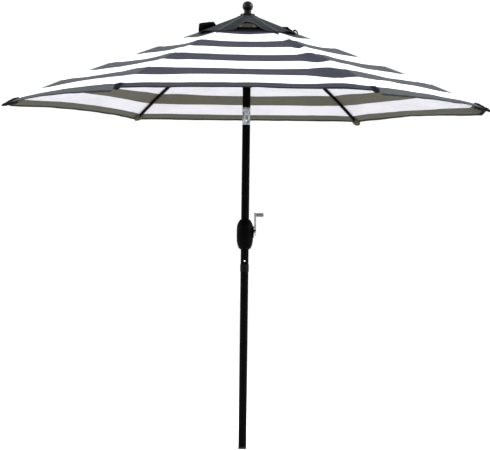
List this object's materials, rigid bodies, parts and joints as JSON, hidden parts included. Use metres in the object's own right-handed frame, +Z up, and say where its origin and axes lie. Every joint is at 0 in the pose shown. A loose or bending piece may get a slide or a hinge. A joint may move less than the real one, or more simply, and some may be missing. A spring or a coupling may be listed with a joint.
{
  "type": "patio umbrella",
  "caption": "Two-tier striped patio umbrella with folding ribs, a vented top, a side crank, a push-button tilt and a two-piece pole.",
  "frame": {"origin": "centre of the underside of the pole's foot plug, on the ground", "axes": "+Z up along the pole; -Y towards the buttons (front); +X towards the crank"},
  "size_m": [2.2858, 1.9798, 2.1142],
  "materials": {
    "pole_paint": "black semi-gloss powder coat on a steel tube",
    "foot_plastic": "black moulded plastic",
    "collar_plastic": "black moulded plastic",
    "snap_button_steel": "bright steel",
    "spring_steel": "plain spring steel",
    "housing_plastic": "black moulded plastic with a slight sheen",
    "shaft_steel": "plain turned steel",
    "spool_plastic": "grey moulded plastic",
    "arm_steel": "bright plated steel",
    "grip_plastic": "beige-grey moulded plastic",
    "tilt_casting": "satin cast metal",
    "pin_steel": "turned steel",
    "button_plastic": "off-white moulded plastic",
    "hub_plastic": "black moulded plastic",
    "finial_plastic": "dark grey moulded plastic",
    "pulley_plastic": "natural nylon",
    "runner_plastic": "black moulded plastic",
    "cord_nylon": "braided off-white cord",
    "rib_paint": "black painted steel box section",
    "tip_plastic": "dark moulded plastic",
    "bracket_paint": "black painted pressed steel",
    "strut_paint": "black painted flat steel bar",
    "canopy_cloth": "woven polyester in dark slate and white bands",
    "vent_cloth": "dark slate woven polyester"
  },
  "bodies": {
    "pole": {"lower_pole": "pole_paint", "foot_plug": "foot_plastic", "joint_collar": "collar_plastic", "snap_spring": "spring_steel", "mid_pole": "pole_paint", "crank_housing_front": "housing_plastic", "crank_housing_rear": "housing_plastic", "tilt_base": "tilt_casting", "tilt_pin": "pin_steel", "lift_cord_lower": "cord_nylon"},
    "snap_button": {"snap_button": "snap_button_steel"},
    "crank": {"crank_shaft": "shaft_steel", "cord_spool": "spool_plastic", "crank_arm": "arm_steel"},
    "grip": {"crank_grip": "grip_plastic"},
    "tilt_button": {"tilt_button": "button_plastic"},
    "head": {"tilt_tongue": "tilt_casting", "upper_mast": "pole_paint", "rib_hub": "hub_plastic", "lift_cord_upper": "cord_nylon", "lift_cord_drop": "cord_nylon"},
    "finial": {"finial": "finial_plastic"},
    "pulley": {"cord_pulley": "pulley_plastic"},
    "runner": {"runner": "runner_plastic"},
    "rib_0": {"rib_0": "rib_paint", "rib_tip_0": "tip_plastic", "rib_bracket_0": "bracket_paint", "canopy_0": "canopy_cloth", "vent_0": "vent_cloth"},
    "strut_0": {"strut_0": "strut_paint"},
    "rib_1": {"rib_1": "rib_paint", "rib_tip_1": "tip_plastic", "rib_bracket_1": "bracket_paint", "canopy_1": "canopy_cloth", "vent_1": "vent_cloth"},
    "strut_1": {"strut_1": "strut_paint"},
    "rib_2": {"rib_2": "rib_paint", "rib_tip_2": "tip_plastic", "rib_bracket_2": "bracket_paint", "canopy_2": "canopy_cloth", "vent_2": "vent_cloth"},
    "strut_2": {"strut_2": "strut_paint"},
    "rib_3": {"rib_3": "rib_paint", "rib_tip_3": "tip_plastic", "rib_bracket_3": "bracket_paint", "canopy_3": "canopy_cloth", "vent_3": "vent_cloth"},
    "strut_3": {"strut_3": "strut_paint"},
    "rib_4": {"rib_4": "rib_paint", "rib_tip_4": "tip_plastic", "rib_bracket_4": "bracket_paint", "canopy_4": "canopy_cloth", "vent_4": "vent_cloth"},
    "strut_4": {"strut_4": "strut_paint"},
    "rib_5": {"rib_5": "rib_paint", "rib_tip_5": "tip_plastic", "rib_bracket_5": "bracket_paint", "canopy_5": "canopy_cloth", "vent_5": "vent_cloth"},
    "strut_5": {"strut_5": "strut_paint"}
  },
  "joints": [
    {"name": "snap_button_press", "type": "slide", "parent": "pole", "child": "snap_button", "axis": [0, 1, 0], "range_m": [0, 0.0032], "stiffness_N_per_m": 900, "deforming": ["snap_spring"]},
    {"name": "crank_turn", "type": "hinge", "parent": "pole", "child": "crank", "pos_m": [0, 0, 1.018], "axis": [1, 0, 0], "range_deg": [0, 2085.95]},
    {"name": "grip_spin", "type": "hinge", "parent": "crank", "child": "grip", "pos_m": [0.07, 0, 1.102], "axis": [1, 0, 0], "continuous": true},
    {"name": "tilt_button_press", "type": "slide", "parent": "pole", "child": "tilt_button", "axis": [0, 1, 0], "range_m": [0, 0.0025], "stiffness_N_per_m": 1500},
    {"name": "tilt", "type": "hinge", "parent": "pole", "child": "head", "pos_m": [0, 0, 1.583], "axis": [0, 1, 0], "range_deg": [0, 40], "deforming": ["lift_cord_lower", "lift_cord_upper"]},
    {"name": "finial_turn", "type": "hinge", "parent": "head", "child": "finial", "pos_m": [0, 0, 2.06], "axis": [0, 0, 1], "continuous": true},
    {"name": "pulley_turn", "type": "hinge", "parent": "head", "child": "pulley", "pos_m": [0.0145, 0, 1.965], "axis": [0, 1, 0], "range_deg": [0, 3947.25]},
    {"name": "runner_slide", "type": "slide", "parent": "head", "child": "runner", "axis": [0, 0, 1], "range_m": [-0.4478, 0], "deforming": ["lift_cord_drop"]},
    {"name": "rib_fold_0", "type": "hinge", "parent": "head", "child": "rib_0", "pos_m": [0.038, 0, 2.02786], "axis": [0, 1, 0], "range_deg": [0, 62.82], "deforming": ["canopy_0", "vent_0"]},
    {"name": "strut_fold_0", "type": "hinge", "parent": "rib_0", "child": "strut_0", "pos_m": [0.38181, 0, 1.87705], "axis": [0, 1, 0], "range_deg": [-125.63, 0]},
    {"name": "rib_fold_1", "type": "hinge", "parent": "head", "child": "rib_1", "pos_m": [0.019, 0.03291, 2.02786], "axis": [-0.866, 0.5, 0], "range_deg": [0, 62.82], "deforming": ["canopy_1", "vent_1"]},
    {"name": "strut_fold_1", "type": "hinge", "parent": "rib_1", "child": "strut_1", "pos_m": [0.1909, 0.33066, 1.87705], "axis": [-0.866, 0.5, 0], "range_deg": [-125.63, 0]},
    {"name": "rib_fold_2", "type": "hinge", "parent": "head", "child": "rib_2", "pos_m": [-0.019, 0.03291, 2.02786], "axis": [-0.866, -0.5, 0], "range_deg": [0, 62.82], "deforming": ["canopy_2", "vent_2"]},
    {"name": "strut_fold_2", "type": "hinge", "parent": "rib_2", "child": "strut_2", "pos_m": [-0.1909, 0.33066, 1.87705], "axis": [-0.866, -0.5, 0], "range_deg": [-125.63, 0]},
    {"name": "rib_fold_3", "type": "hinge", "parent": "head", "child": "rib_3", "pos_m": [-0.038, 0, 2.02786], "axis": [0, -1, 0], "range_deg": [0, 62.82], "deforming": ["canopy_3", "vent_3"]},
    {"name": "strut_fold_3", "type": "hinge", "parent": "rib_3", "child": "strut_3", "pos_m": [-0.38181, 0, 1.87705], "axis": [0, -1, 0], "range_deg": [-125.63, 0]},
    {"name": "rib_fold_4", "type": "hinge", "parent": "head", "child": "rib_4", "pos_m": [-0.019, -0.03291, 2.02786], "axis": [0.866, -0.5, 0], "range_deg": [0, 62.82], "deforming": ["canopy_4", "vent_4"]},
    {"name": "strut_fold_4", "type": "hinge", "parent": "rib_4", "child": "strut_4", "pos_m": [-0.1909, -0.33066, 1.87705], "axis": [0.866, -0.5, 0], "range_deg": [-125.63, 0]},
    {"name": "rib_fold_5", "type": "hinge", "parent": "head", "child": "rib_5", "pos_m": [0.019, -0.03291, 2.02786], "axis": [0.866, 0.5, 0], "range_deg": [0, 62.82], "deforming": ["canopy_5", "vent_5"]},
    {"name": "strut_fold_5", "type": "hinge", "parent": "rib_5", "child": "strut_5", "pos_m": [0.1909, -0.33066, 1.87705], "axis": [0.866, 0.5, 0], "range_deg": [-125.63, 0]}
  ],
  "couplings": [
    {"joint": "crank_turn", "follows": "runner_slide", "rad_per_m": -81.301},
    {"joint": "pulley_turn", "follows": "runner_slide", "rad_per_m": -153.85},
    {"joint": "rib_fold_0", "follows": "runner_slide", "rad_per_m": -2.4481},
    {"joint": "strut_fold_0", "follows": "runner_slide", "rad_per_m": 4.8961},
    {"joint": "rib_fold_1", "follows": "runner_slide", "rad_per_m": -2.4481},
    {"joint": "strut_fold_1", "follows": "runner_slide", "rad_per_m": 4.8961},
    {"joint": "rib_fold_2", "follows": "runner_slide", "rad_per_m": -2.4481},
    {"joint": "strut_fold_2", "follows": "runner_slide", "rad_per_m": 4.8961},
    {"joint": "rib_fold_3", "follows": "runner_slide", "rad_per_m": -2.4481},
    {"joint": "strut_fold_3", "follows": "runner_slide", "rad_per_m": 4.8961},
    {"joint": "rib_fold_4", "follows": "runner_slide", "rad_per_m": -2.4481},
    {"joint": "strut_fold_4", "follows": "runner_slide", "rad_per_m": 4.8961},
    {"joint": "rib_fold_5", "follows": "runner_slide", "rad_per_m": -2.4481},
    {"joint": "strut_fold_5", "follows": "runner_slide", "rad_per_m": 4.8961}
  ]
}
